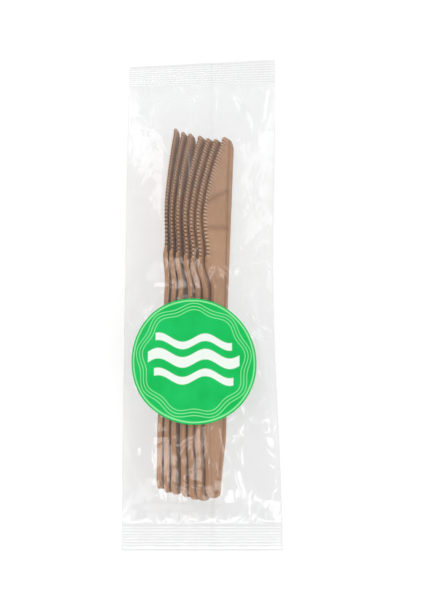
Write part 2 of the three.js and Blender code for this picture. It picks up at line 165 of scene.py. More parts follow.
def knife_rings():
    """Closed cross-sections of the knife along its length: upper face from edge to spine, lower face back.
    Half the height is the panel's, plus the rim near a border, less a quarter-round at the border and the
    grooves. Columns are set by millimetres near both borders and spread evenly between them.
    With them goes a shade mark: painted light on the teeth's crests, painted shade in their grooves and
    beside the rim's wall."""
    butt_rows, handle_rows, neck_rows, tip_rows = 16, 36, 18, 10
    rows_per_tooth = 12
    end_gap = 0.02
    tip_run = 1.4
    neck_from = NECK_AT - 4
    teeth_from = HEEL_AT - 1
    y = np.unique(np.concatenate([
        end_gap + (BUTT_ROUND - end_gap) * np.linspace(0, 1, butt_rows) ** 2,
        np.linspace(BUTT_ROUND, neck_from, handle_rows),
        np.linspace(neck_from, teeth_from, neck_rows),
        np.arange(teeth_from, KNIFE_LENGTH - tip_run, TOOTH_PITCH / rows_per_tooth),
        KNIFE_LENGTH - end_gap - tip_run * np.linspace(1, 0, tip_rows) ** 2,
    ]).round(4))
    left = np.interp(y, edge_line[:, 1], edge_line[:, 0])
    right = np.interp(y, spine_line[:, 1], spine_line[:, 0])
    from_left = np.array([0, 0.06, 0.15, 0.35, 0.65, 1, 1.4, 1.75, 2, 2.15, 2.4, 2.65, 3.2])
    from_right = np.array([0, 0.05, 0.15, 0.3, 0.5, 0.9, 1.5, 1.95, 2.1, 2.35, 2.6, 3.2])
    width_for_columns = 8
    narrow = np.minimum(1, (right - left) / width_for_columns)[:, None]
    left_part = left[:, None] + from_left * narrow
    right_part = right[:, None] - from_right[::-1] * narrow
    shares = np.linspace(0, 1, 6)[1:-1]
    middle = left_part[:, -1:] * (1 - shares) + right_part[:, :1] * shares
    x = np.concatenate([left_part, middle, right_part], axis=1)
    along = np.broadcast_to(y[:, None], x.shape)

    spine_gap = border_distance(right[:, None] - x, np.gradient(right, y)[:, None])
    edge_gap = border_distance(x - left[:, None], np.gradient(left, y)[:, None])
    from_butt = np.hypot(x / half_butt, (BUTT_ROUND - along) / BUTT_ROUND)
    butt_gap = np.where(along < BUTT_ROUND, (1 - from_butt) * BUTT_ROUND, HANDLE_WIDTH)
    tip = np.concatenate([bezier_chain([tip_edge])[:-1], bezier_chain([tip_spine])[::-1]])
    tip_slope = np.gradient(tip[:, 1], tip[:, 0] + 1e-9 * np.arange(len(tip)))
    tip_gap = border_distance(
        np.interp(x, tip[:, 0], tip[:, 1]) - along, np.interp(x, tip[:, 0], tip_slope)
    )
    tip_gap = np.where(along > BELLY_AT, tip_gap, HANDLE_WIDTH)
    gap = np.maximum(0, np.minimum(np.minimum(spine_gap, edge_gap), np.minimum(butt_gap, tip_gap)))

    past_rim = 9
    rim_end = 1.5
    rib_gap = np.where(along > KNIFE_LENGTH - TIP_ROUND, SPINE_RISE - x, spine_gap)
    rib_width = np.interp(along, [NECK_AT, KNIFE_LENGTH - TIP_ROUND], [RIM_WIDTH, RIB_WIDTH])
    bare_edge = past_rim * smooth_step(HEEL_AT - rim_end, HEEL_AT, along)
    grip_gap = np.minimum(edge_gap + bare_edge, butt_gap)
    rim_gap = np.minimum(rib_gap - rib_width, grip_gap - RIM_WIDTH)
    rim = 1 - smooth_step(-RIM_SOFT, RIM_SOFT, rim_gap)
    half_height = KNIFE_THICKNESS / 2 - PANEL_DEPTH * (1 - rim)
    corner = EDGE_ROUND + RIM_ROUND * rim
    half_height -= corner * (1 - np.sqrt(1 - (1 - np.clip(gap / corner, 0, 1)) ** 2))

    near_edge = slice(0, len(from_left))
    upper, lower = half_height.copy(), half_height.copy()
    # Painted shade beside the rim's wall; the teeth add painted light on their crests and painted shade in
    # their grooves.
    wall_shade = WALL_SHADE * np.exp(-((rim_gap - RIM_SOFT) / WALL_SHADE_REACH) ** 2)
    upper_shade, lower_shade = -wall_shade, -wall_shade.copy()
    upper_groove, upper_painted_light = groove_depth(x[:, near_edge], along[:, near_edge], 0)
    lower_groove, lower_painted_light = groove_depth(x[:, near_edge], along[:, near_edge], TOOTH_PITCH / 2)
    upper[:, near_edge] -= upper_groove
    lower[:, near_edge] -= lower_groove
    upper_shade[:, near_edge] += upper_painted_light
    lower_shade[:, near_edge] += lower_painted_light
    top = np.stack([x, along, upper], axis=2)
    bottom = np.stack([x, along, -lower], axis=2)[:, ::-1]
    shade = np.concatenate([upper_shade, lower_shade[:, ::-1]], axis=1)
    return np.concatenate([top, bottom], axis=1), shade


def link_mesh(name, points, faces):
    """Object at the origin, with its place in its mesh: points in millimetres become metres."""
    mesh = bpy.data.meshes.new(name)
    mesh.from_pydata((points * MM).tolist(), [], faces)
    mesh.validate()
    mesh.shade_smooth()
    piece = bpy.data.objects.new(name, mesh)
    bpy.context.scene.collection.objects.link(piece)
    return piece


def loft_faces(rows, columns):
    """Quads between each ring and the next all the way round, and one face over each end."""
    here = np.arange(rows * columns).reshape(rows, columns)
    beside = np.roll(here, -1, axis=1)
    quads = np.stack([here[:-1], beside[:-1], beside[1:], here[1:]], axis=2).reshape(-1, 4)
    return quads.tolist() + [here[0][::-1].tolist(), here[-1].tolist()]


# Stack: the front knife leans most. Each spine stands as far from the last as the two knives need, at their
# handles or at their blades, and some knives have slipped a little along the pack.
STACK_TURN = np.radians(-1.9)
STACK_SHIFT = 11.8
KNIFE_GAP = 0.5
KNIFE_LEANS = np.radians([52.5, 57.5, 60.5, 65, 71, 73.5, 79])
KNIFE_SLIPS = np.array([0.4, -0.9, -0.6, 0.4, 1.3, 2.0, 3.5])
KNIFE_APART = np.array([0, 0, 0, 0.1, 0.9, 0.2, 0.1])
BUTT_ROOM = 9.6
TIP_ROOM = 26.4
FILM_THICKNESS = 0.1
FILM_CLEARANCE = 0.3
LAYER_STEP = 0.2
seal_start = (BUTT_ROOM + KNIFE_LENGTH + TIP_ROOM) / 2
butt_at = BUTT_ROOM - seal_start
half_thick = KNIFE_THICKNESS / 2
closing = np.sin(np.diff(KNIFE_LEANS))
at_handle = KNIFE_THICKNESS + HANDLE_WIDTH * closing
at_blade = 2 * (half_thick - PANEL_DEPTH) + (half_grip + EDGE_DROP) * closing
foot_steps = (np.maximum(at_handle, at_blade) + KNIFE_GAP) / np.sin(KNIFE_LEANS[1:]) + KNIFE_APART[1:]
knife_feet = STACK_SHIFT - np.concatenate([[0], np.cumsum(foot_steps)])
stand_height = FILM_THICKNESS + LAYER_STEP + FILM_CLEARANCE


def place_knife(rings, lean, slip, foot):
    """Turns the flat knife about its length by its lean, stands its spine on the film, turns the stack."""
    x, y, z = np.moveaxis(rings, 2, 0)
    across = x * np.cos(lean) + z * np.sin(lean) + foot - half_grip * np.cos(lean)
    middle_up = stand_height + half_grip * np.sin(lean) + half_thick * np.cos(lean)
    up = z * np.cos(lean) - x * np.sin(lean) + middle_up
    along = y + butt_at + slip
    turned_x = across * np.cos(STACK_TURN) - along * np.sin(STACK_TURN)
    turned_y = across * np.sin(STACK_TURN) + along * np.cos(STACK_TURN)
    return np.stack([turned_x, turned_y, up], axis=2)


def node(tree, kind, x, y, *inputs, **settings):
    """New shader node at a place in the editor. Its inputs, by name or in order, take plain values or are
    joined to other nodes' sockets. Other settings go by name."""
    made = tree.nodes.new(kind)
    made.location = (x, y)
    for key, value in [*settings.items(), *enumerate(inputs)]:
        if isinstance(key, str) and hasattr(made, key):
            setattr(made, key, value)
            continue
        slot = made.inputs[key.replace("_", " ") if isinstance(key, str) else key]
        if isinstance(value, bpy.types.NodeSocket):
            tree.links.new(value, slot)
        else:
            slot.default_value = value
    return made


def noise(tree, x, y, place, **settings):
    """Noise at a place, from 0 to 1."""
    return node(tree, "ShaderNodeTexNoise", x, y, **settings, Vector=place).outputs["Fac"]


def spread(tree, x, y, value, **limits):
    """Value taken from one range to another, and held at its ends."""
    return node(tree, "ShaderNodeMapRange", x, y, **limits, Value=value).outputs["Result"]


def calc(tree, x, y, operation, *values):
    """Result of one operation on plain numbers or sockets."""
    return node(tree, "ShaderNodeMath", x, y, *values, operation=operation).outputs["Value"]


def blend(tree, x, y, factor, first, second, **settings):
    """Mix of two colours by a factor."""
    mix = node(tree, "ShaderNodeMix", x, y, data_type="RGBA", **settings, Factor=factor, A=first, B=second)
    return mix.outputs["Result"]


def colour_ramp(tree, x, y, value, low, high):
    """Colour between two by a value. Each comes with the value up to which, or from which, it holds."""
    made = node(tree, "ShaderNodeValToRGB", x, y, Fac=value)
    for element, (place, colour) in zip(made.color_ramp.elements, (low, high)):
        element.position = place
        element.color = colour
    return made.outputs["Color"]


def new_material(name):
    """Empty node material with its output node, and the tree that the rest goes into."""
    material = bpy.data.materials.new(name)
    material.use_nodes = True
    tree = material.node_tree
    tree.nodes.clear()
    output = node(tree, "ShaderNodeOutputMaterial", 900, 0)
    return material, tree, output


DARK_BROWN = (0.47, 0.245, 0.125, 1)
LIGHT_BROWN = (0.60, 0.335, 0.185, 1)
FIBRE_TINT = (0.80, 0.76, 0.72, 1)
SPECK_BROWN = (0.28, 0.13, 0.06, 1)
# Painted highlight for the teeth's crests, and painted shade for their grooves and beside the rim's wall.
PAINTED_CREST_HIGHLIGHT = (0.86, 0.61, 0.43, 1)
PAINTED_GROOVE_SHADE = (0.07, 0.022, 0.010, 1)
WHITE = (1, 1, 1, 1)
KNIFE_SHARP = np.radians(38)


def plant_plastic():
    """Satin brown plastic with fine fibres and specks, and a slow drift of colour along the moulding.
    It has painted highlights on the teeth's crests, and painted shade in their grooves and beside the rim."""
    material, tree, output = new_material("plant_plastic_satin")
    place = node(tree, "ShaderNodeTexCoord", -1100, 0).outputs["Object"]
    drift = noise(tree, -700, 260, place, Scale=55.0, Detail=3.0, Roughness=0.55)
    fibre_space = node(tree, "ShaderNodeMapping", -900, -40, Vector=place, Scale=(1.0, 0.22, 1.0))
    fibres = noise(tree, -700, -40, fibre_space.outputs["Vector"], Scale=1500.0, Detail=4.0, Roughness=0.7)
    specks = node(tree, "ShaderNodeTexVoronoi", -700, -340, Vector=place, Scale=420.0, Randomness=1.0)
    body = colour_ramp(tree, -450, 260, drift, (0.3, DARK_BROWN), (0.72, LIGHT_BROWN))
    streaks = colour_ramp(tree, -450, -40, fibres, (0.36, FIBRE_TINT), (0.66, WHITE))
    streaked = blend(tree, -150, 200, 0.6, body, streaks, blend_type="MULTIPLY")
    speck_mask = spread(
        tree, -450, -340, specks.outputs["Distance"], From_Min=0.05, From_Max=0.16, To_Min=0.55, To_Max=0.0,
    )
    specked = blend(tree, 100, 120, speck_mask, streaked, SPECK_BROWN)
    # The shade mark paints light on the teeth's crests and shade in their grooves and beside the rim's
    # wall.
    shade = node(tree, "ShaderNodeAttribute", -150, 520, attribute_name="shade").outputs["Fac"]
    painted_highlight_mask = spread(tree, 100, 380, shade, To_Max=0.9)
    painted_shade_mask = spread(tree, 100, 620, shade, From_Max=-0.9, To_Max=1.0)
    painted_crest_light = blend(tree, 300, 300, painted_highlight_mask, specked, PAINTED_CREST_HIGHLIGHT)
    toothed = blend(tree, 400, 200, painted_shade_mask, painted_crest_light, PAINTED_GROOVE_SHADE)
    satin = spread(tree, 100, -160, drift, To_Min=0.36, To_Max=0.56)
    grain = node(tree, "ShaderNodeBump", 100, -440, Height=fibres, Strength=0.12, Distance=0.0002)
    shader = node(
        tree, "ShaderNodeBsdfPrincipled", 600, 0, Base_Color=toothed, Roughness=satin,
        Normal=grain.outputs["Normal"], IOR=1.47,
    )
    tree.links.new(shader.outputs["BSDF"], output.inputs["Surface"])
    return material


flat_knife, knife_shade = knife_rings()
knife_faces = loft_faces(*flat_knife.shape[:2])
brown_plastic = plant_plastic()
for number, (lean, slip, foot) in enumerate(zip(KNIFE_LEANS, KNIFE_SLIPS, knife_feet), start=1):
    placed = place_knife(flat_knife, lean, slip, foot)
    knife = link_mesh(f"moulded_knife_{number}", placed.reshape(-1, 3), knife_faces)
    knife.data.set_sharp_from_angle(angle=KNIFE_SHARP)
    shade_mark = knife.data.attributes.new("shade", "FLOAT", "POINT")
    shade_mark.data.foreach_set("value", knife_shade.ravel().astype(np.float32))
    knife.data.materials.append(brown_plastic)
    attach(knife, "root")
    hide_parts(f"knife_{number}")

# Film wrapper: one sheet of clear glossy film, folded round the stack into a tube, lapped down the middle
# of the back and crimped flat across both ends by ridged jaws. It is drawn over the knives' edges,
# sinks over their necks, and creases towards its folds and seals.
BAG_WIDTH = 68.3
SIDE_PULL = 2.4
SEAL_LENGTH = 12.0
SEAL_HEIGHT = 4.0
LEFT_LIFT = 6.5
RIGHT_LIFT = 2.0
NECK_SAG = 4.0
RIDGE_FALL = 2.2
CRIMP_PITCH = 1.15
CRIMP_COUNT = 8
CRIMP_DEPTH = 0.18
LAP_WIDTH = 10.0
GATHER_HEIGHT = 1.1
TOP_GATHER = 0.5
GATHER_WIDTH = 9.5
GATHER_REACH = 6.0
FALL_SHAPE = 1.5
SEAL_SLANT = np.tan(np.radians(1.2))
CUT_SLANT = np.tan(np.radians(3.2))
LEAST_WELD = 0.6
LABEL_DIAMETER = 55.8
LABEL_ACROSS = -3.5
LABEL_ALONG = -32.7
film_half = FILM_THICKNESS / 2
side_reach = BAG_WIDTH / 2 - film_half
front_seal = SEAL_HEIGHT + LAYER_STEP
back_seal = SEAL_HEIGHT - LAYER_STEP
film_lift = film_half + 2 * FILM_CLEARANCE
stack_slope = -np.tan(STACK_TURN)
blade_tops = knife_feet - (half_grip + EDGE_DROP) * np.cos(KNIFE_LEANS)


def stack_outline():
    """Outer points of the stack: every twentieth point of each knife's borders, on both of its faces."""
    border = np.concatenate([spine_line, edge_line])[::20]
    faces = np.stack([np.insert(border, 2, height, axis=1) for height in (-half_thick, half_thick)])
    placed = [place_knife(faces, *place) for place in zip(KNIFE_LEANS, KNIFE_SLIPS, knife_feet)]
    return np.concatenate(placed).reshape(-1, 3)


stack_points = stack_outline()
stack_top = stack_points[:, 2].max() + film_lift


def ridge_sides(y):
    """Left and right borders of the film's ridge, which lies over the knives behind the front one."""
    return blade_tops[-1] - half_thick + y * stack_slope, blade_tops[1] + y * stack_slope


def kept_height(x, y):
    """Share of its height above the seals that the film keeps: it falls evenly across the ridge."""
    left, right = ridge_sides(y)
    return 1 - RIDGE_FALL * np.clip((x - left) / (right - left), 0, 1) / (stack_top - front_seal)


def taut_line():
    """Straight runs from seal to seal over the stack's highest points: going along the pack, a point is
    dropped when the run past it would turn upwards there."""
    x, y, z = stack_points.T
    tops = np.stack([y, front_seal + (z + film_lift - front_seal) / kept_height(x, y)], axis=1)
    points = np.concatenate([tops, [[-seal_start, front_seal], [seal_start, front_seal]]])
    line = []
    for point in points[np.argsort(points[:, 0], kind="stable")]:
        while len(line) > 1:
            before, after = line[-1] - line[-2], point - line[-1]
            if before[1] * after[0] > after[1] * before[0]:
                break
            line.pop()
        line.append(point)
    return np.array(line)


taut_places, taut_heights = taut_line().T


def taut_height(y):
    """Height of the taut line, rounded where its runs meet, less the sag over the knives' necks."""
    rounded_over = np.array([-4, -2, 0, 2, 4])
    end_run = 8
    near = np.clip(y, -seal_start, seal_start)[..., None] + rounded_over
    line = np.interp(near, taut_places, taut_heights).mean(-1)
    line = front_seal + (line - front_seal) * smooth_step(0, end_run, seal_start - np.abs(y))
    widest, neck, heel = butt_at + HANDLE_WIDEST, butt_at + NECK_AT, butt_at + HEEL_AT
    return line - NECK_SAG * smooth_step(widest, neck, y) * (1 - smooth_step(neck, heel, y))


def side_right(y):
    """The right fold, drawn in at mid-length by a squared cosine."""
    quarter_turn = np.pi / 2 * y / (seal_start + SEAL_LENGTH)
    return side_reach - SIDE_PULL * np.maximum(0, np.cos(quarter_turn)) ** 2


def fold_height(x, y):
    """Height of the fold on a place's own side: level with the seals at the ends, lifted between them."""
    lift = np.where(x < 0, LEFT_LIFT, RIGHT_LIFT)
    return SEAL_HEIGHT + lift * np.maximum(0, 1 - (y / seal_start) ** 4)


def side_share(x, y, left, right):
    """0 on a level strip, rising to 1 at a fold as the 1.5th power of the way there."""
    to_left = np.clip((left - x) / (left + side_reach), 0, 1)
    to_right = np.clip((x - right) / (side_right(y) - right), 0, 1)
    return np.where(x < left, to_left, to_right) ** FALL_SHAPE


def smooth_front(x, y):
    """The film's front without creases: along the taut line over the rear knife, falling a little across
    the blades, then down to the folds, with puckers at the seals."""
    share = side_share(x, y, *ridge_sides(y))
    away = np.maximum(0, seal_start - np.abs(y)) / GATHER_REACH
    waves = 0.5 + 0.5 * np.cos(2 * np.pi * x / GATHER_WIDTH)
    gather = np.where(y > 0, TOP_GATHER, GATHER_HEIGHT) * waves * away * np.exp(1 - away)
    top = front_seal + (taut_height(y) - front_seal) * kept_height(x, y)
    return top + (fold_height(x, y) + LAYER_STEP - top) * share + gather * (1 - share)


def smooth_back(x, y):
    """The film's back: flat on the table under the stack, rising to the seals and the folds."""
    flat_left, flat_right = -LAP_WIDTH, LAP_WIDTH * 0.8
    left = np.minimum(knife_feet[-1] - KNIFE_THICKNESS - FILM_CLEARANCE + y * stack_slope, flat_left)
    right = np.maximum(STACK_SHIFT + half_thick + FILM_CLEARANCE + y * stack_slope, flat_right)
    level_from = -seal_start + BUTT_ROOM
    level_to = seal_start - TIP_ROOM
    rise = np.clip(np.maximum((level_from - y) / BUTT_ROOM, (y - level_to) / TIP_ROOM), 0, 1)
    floor = film_half + (back_seal - film_half) * rise
    return floor + (fold_height(x, y) - LAYER_STEP - floor) * side_share(x, y, left, right)


# Creases of the front: height and width in millimetres, then the places that the crease runs through.
FRONT_CREASES = [
    (1.5, 1.3, [(15.9, 94.7), (21.9, 87.2), (25.4, 74.8), (28.1, 68.4)]),
    (1.1, 1.2, [(32.3, 98.1), (29.8, 83.1), (27.7, 68.3)]),
    (1.4, 1.3, [(16.8, 39.2), (25.0, 47.8), (30.3, 32.1)]),
    (0.5, 1.2, [(20.2, 16.3), (22.5, 2.0)]),
    (1.4, 2.0, [(20.6, 0.5), (25.9, -35.4), (30.0, -59.6), (33.1, -79.0)]),
    (0.8, 1.6, [(25.4, -91.5), (34.4, -91.5)]),
    (0.8, 1.6, [(25.4, -94.0), (33.8, -101.6)]),
    (0.8, 1.6, [(18.3, -59.6), (19.5, -66.1), (16.1, -71.3)]),
    (1.2, 1.2, [(-33.4, 100.7), (-28.6, 87.1)]),
    (0.9, 1.7, [(-32.0, -45.5), (-27.7, -70.7)]),
    (0.9, 1.7, [(-31.2, -69.3), (-22.4, -83.4)]),
    (0.5, 1.2, [(-33.8, 18.9), (-29.6, 9.6)]),
]

# Two more creases lie pressed on the front blade, as sharp folds with a painted shade that dims what is
# seen through them.
BLADE_FOLDS = [
    (0.6, 2.0, [(2.0, 38.4), (10.8, 44.5)]),
    (0.4, 1.8, [(3.0, 26.6), (10.8, 26.9)]),
]
FOLD_WIDTH = 1.2
CREASE_ROUND = 0.3
LABEL_HOLD = 3.0
FOLD_HOLD = 2.5
SEAL_HOLD = 3.0
FLAT_BELOW = 0.2
LOOSE_ABOVE = 2.0


def crease_line(x, y, places):
    """Least distance from each place of the film to a run of straight pieces."""
    nearest = np.full(x.shape, np.inf)
    for (x0, y0), (x1, y1) in zip(places[:-1], places[1:]):
        span = (x1 - x0) ** 2 + (y1 - y0) ** 2
        share = np.clip(((x - x0) * (x1 - x0) + (y - y0) * (y1 - y0)) / span, 0, 1)
        nearest = np.minimum(nearest, np.hypot(x - x0 - share * (x1 - x0), y - y0 - share * (y1 - y0)))
    return nearest


def facets(x, y, count, seed, height, width):
    """Crumpled film: flat cells round scattered points, with a sharp ridge along every cell's border."""
    rng = np.random.default_rng(seed)
    stretch = 0.55
    least_lift = 0.3
    seeds_x = rng.uniform(-side_reach, side_reach, count)
    seeds_y = rng.uniform(-seal_start, seal_start, count)
    off_x = x.ravel()[:, None] - seeds_x
    off_y = (y.ravel()[:, None] - seeds_y) * stretch
    apart = np.sqrt(off_x**2 + off_y**2)
    two = np.partition(apart, 1, axis=1)[:, :2]
    lift = rng.uniform(least_lift, 1.0, count)[np.argmin(apart, axis=1)]
    return (height * lift * np.exp(-(two[:, 1] - two[:, 0]) / width)).reshape(x.shape)


def loose_share(x, y):
    """0 along the folds and the seals, and 1 a few millimetres away from them."""
    edge = smooth_step(0, FOLD_HOLD, np.minimum(x + side_reach, side_right(y) - x))
    return edge * smooth_step(0, SEAL_HOLD, seal_start - np.abs(y))


def creased_front(x, y):
    """The front with its creases and crumples, which die out at the folds and seals and under the label."""
    label_gap = np.hypot(x - LABEL_ACROSS, y - LABEL_ALONG) - LABEL_DIAMETER / 2
    free = smooth_step(-LABEL_HOLD, LABEL_HOLD / 2, label_gap)
    marks = facets(x, y, count=90, seed=7, height=0.28, width=1.6)
    marks = marks + facets(x, y, count=260, seed=11, height=0.12, width=0.9)
    for rise, width, places in FRONT_CREASES + BLADE_FOLDS:
        gap = np.hypot(crease_line(x, y, places), CREASE_ROUND) - CREASE_ROUND
        marks = marks + rise * np.exp(-gap / width)
    return smooth_front(x, y) + marks * free * loose_share(x, y)


def creased_back(x, y):
    """The back with low crumples, pressed flat where the stack's weight holds it on the table."""
    height = smooth_back(x, y)
    lifted = smooth_step(FLAT_BELOW, LOOSE_ABOVE, height)
    marks = facets(x, y, count=70, seed=23, height=0.3, width=1.8)
    return height + marks * lifted * loose_share(x, y)


def crimp(y):
    """Ridges across both seals, all layers together: a raised cosine along the seal, with a plain margin.
    With their height goes how hard the jaws pressed: fully on the ridges and in the margins."""
    margin = (SEAL_LENGTH - CRIMP_COUNT * CRIMP_PITCH) / 2
    inside = np.abs(y) - seal_start - margin
    ridged = (inside > 0) & (inside < CRIMP_COUNT * CRIMP_PITCH)
    rise = np.where(ridged, 0.5 - 0.5 * np.cos(2 * np.pi * inside / CRIMP_PITCH), 0)
    return CRIMP_DEPTH * rise, np.where(ridged, rise, 1)


def film_sheet():
    """Middle surface of the sheet: rows along the pack, and columns from the lap's inner edge round the
    left back, the left fold, the front, the right fold and the right back to the lap's outer edge. With it
    go three marks: how hard each place is welded in the seals, most on their ridges and margins, a 1 in
    the lap's two layers, and a 1 on the folds over the front blade."""
    lap_columns = 6
    back_columns = 19
    front_columns = 78
    rows_per_ridge = 5
    tube_rows = 240
    fold_run = np.array([0.9, 0.5, 0.25, 0.1])
    lap_ease = [0.7, 0.3]
    lap_edge = LAP_WIDTH / 2
    back_end = side_reach - fold_run[0]
    past_lap = [-lap_edge - 1, -lap_edge - 2]
    inner_lap = np.concatenate([np.linspace(lap_edge, -lap_edge, lap_columns), past_lap])
    back_left = np.linspace(-lap_edge - 3, -back_end, back_columns)[:-1]
    front = np.linspace(-back_end, back_end, front_columns)[1:-1]
    back_right = np.linspace(back_end, lap_edge, back_columns)[1:]
    outer_lap = np.linspace(lap_edge, -lap_edge, lap_columns)[1:]
    left_fold = -side_reach + np.concatenate([fold_run, [0], fold_run[::-1]])
    right_fold = -left_fold
    runs = [inner_lap, back_left, left_fold, front, right_fold, back_right, outer_lap]
    base = np.concatenate(runs)
    round_fold = [0, 0, 0, 0, 0.5, 1, 1, 1, 1]
    on_front = np.concatenate([
        np.zeros(len(inner_lap) + len(back_left)),
        round_fold,
        np.ones(len(front)),
        round_fold[::-1],
        np.zeros(len(back_right) + len(outer_lap)),
    ])
    lap_step = np.zeros(len(base))
    lap_step[:len(inner_lap)] = LAYER_STEP
    lap_step[len(inner_lap) - 2:len(inner_lap)] *= lap_ease

    margin = (SEAL_LENGTH - CRIMP_COUNT * CRIMP_PITCH) / 2
    ridged = np.linspace(margin, SEAL_LENGTH - margin, CRIMP_COUNT * rows_per_ridge + 1)
    past_ridges = [SEAL_LENGTH - margin / 2, SEAL_LENGTH]
    seal_rows = seal_start + np.concatenate([[0, margin / 2], ridged, past_ridges])
    between = np.linspace(-seal_start, seal_start, tube_rows)[1:-1]
    y_rows = np.concatenate([-seal_rows[::-1], between, seal_rows])
    y = np.broadcast_to(y_rows[:, None], (len(y_rows), len(base)))
    x = np.where(base > 0, base * side_right(y) / side_reach, base)
    inside = np.clip(y, -seal_start, seal_start)
    upper = creased_front(x, inside)
    lower = creased_back(x, inside) + lap_step
    middle = fold_height(x, inside)
    reach = np.minimum(side_reach - np.abs(base), fold_run[0]) / fold_run[0]
    round_off = np.sqrt(1 - (1 - reach) ** 2)
    z = middle + (np.where(on_front > 0.5, upper, lower) - middle) * round_off
    ridges, pressed = crimp(y)
    z = z + ridges
    in_top_seal = np.maximum(0, y - seal_start) / SEAL_LENGTH
    to_top_seal = smooth_step(seal_start - 2 * SEAL_LENGTH, seal_start, y)
    slanted = y + (to_top_seal * SEAL_SLANT + in_top_seal * (CUT_SLANT - SEAL_SLANT)) * x
    sealed = smooth_step(seal_start, seal_start + margin, np.abs(y))
    welded = (LEAST_WELD + (1 - LEAST_WELD) * pressed) * sealed
    lapped = np.zeros(x.shape)
    lapped[:, :lap_columns] = 1
    lapped[:, -len(outer_lap):] = 1
    folded = np.zeros(x.shape)
    for _, _, places in BLADE_FOLDS:
        folded = np.maximum(folded, np.exp(-((crease_line(x, inside, places) / FOLD_WIDTH) ** 2)))
    return np.stack([x, slanted, z], axis=2), welded, lapped, folded * (on_front > 0.5)


def thin_wall(sheet, half):
    """Closed wall from a middle surface: both faces half a thickness out along its normals, joined round
    the border."""
    along_rows = np.gradient(sheet, axis=0)
    along_columns = np.gradient(sheet, axis=1)
    normal = np.cross(along_columns, along_rows)
    normal /= np.maximum(np.linalg.norm(normal, axis=2, keepdims=True), 1e-12)
    points = np.concatenate([sheet + half * normal, sheet - half * normal]).reshape(-1, 3)
    rows, columns = sheet.shape[:2]
    out = np.arange(rows * columns).reshape(rows, columns)
    outer_face = np.stack([out[:-1, :-1], out[:-1, 1:], out[1:, 1:], out[1:, :-1]], axis=2).reshape(-1, 4)
    inner_face = outer_face[:, [0, 3, 2, 1]] + rows * columns
    border = np.concatenate([out[0, :-1], out[:-1, -1], out[-1, :0:-1], out[:0:-1, 0]])
    after = np.roll(border, -1)
    rim = np.stack([border, border + rows * columns, after + rows * columns, after], axis=1)
    return points, np.concatenate([outer_face, inner_face, rim]).tolist()


# Painted shade: the film's tint is darker towards the bottom seal than towards the top.
BOTTOM_TINT = (0.976, 0.977, 0.977, 1)
TOP_TINT = (0.989, 0.990, 0.990, 1)
TINT_REACH = 0.09
WELD_TINT = 0.979
# Painted shade along the folds over the front blade.
PAINTED_FOLD_SHADE = 0.90
FILM_MIRROR = 0.042
LAP_MIRROR = 0.02
SLANT_POWER = 5.0
CRINKLE_WARP = 0.012
SWELL_HEIGHT = 1.2
FILM_MARKS = ("welded", "lapped", "folded")

# Fine crinkles: cells to a metre, half of a ridge's width in metres, and its height in millimetres.
CRINKLES = [(70.0, 0.0010, 0.30), (170.0, 0.0005, 0.14)]


